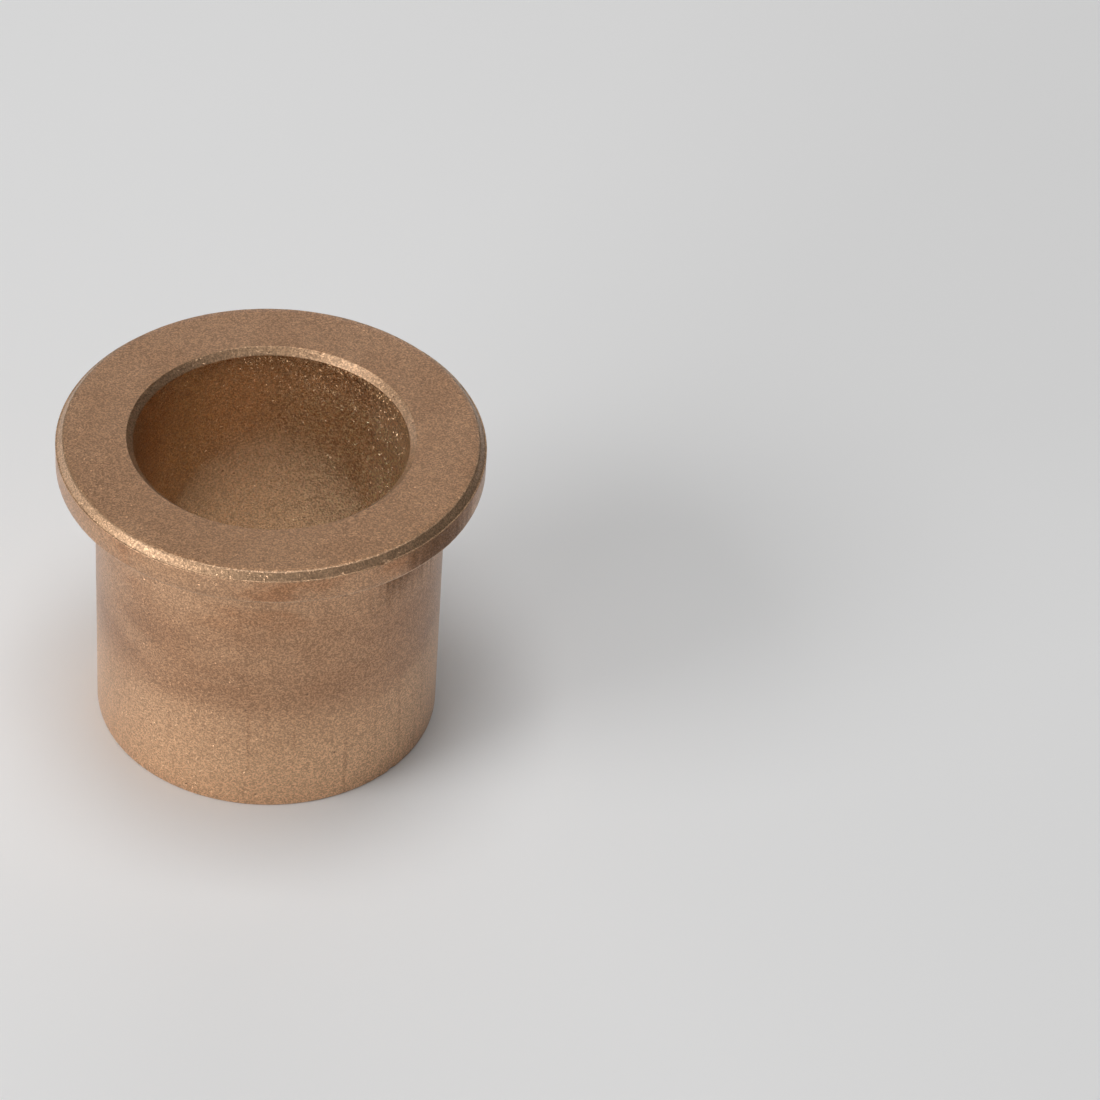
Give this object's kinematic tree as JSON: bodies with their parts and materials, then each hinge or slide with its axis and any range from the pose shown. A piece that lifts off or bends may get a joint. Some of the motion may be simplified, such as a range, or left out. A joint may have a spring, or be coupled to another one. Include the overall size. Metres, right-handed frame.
{
  "type": "flanged sleeve bushing",
  "caption": "Straight plain-bearing sleeve of sintered bronze with a flange at one end, chamfered bore mouths, a chamfered flange rim and a crisp plain end.",
  "frame": {"origin": "on the bore axis, in the plane of the flange's seating face, which is the face that lies against the housing", "axes": "+Z along the bore axis, from the plain end towards the flanged end; X and Y are interchangeable because the part is a solid of revolution"},
  "size_m": [0.039, 0.039, 0.031],
  "materials": {
    "sintered_bronze": "satin, finely granular pressed-and-sintered skin, burnished in the bore"
  },
  "bodies": {
    "root": {"flanged_bushing": "sintered_bronze"}
  },
  "joints": []
}
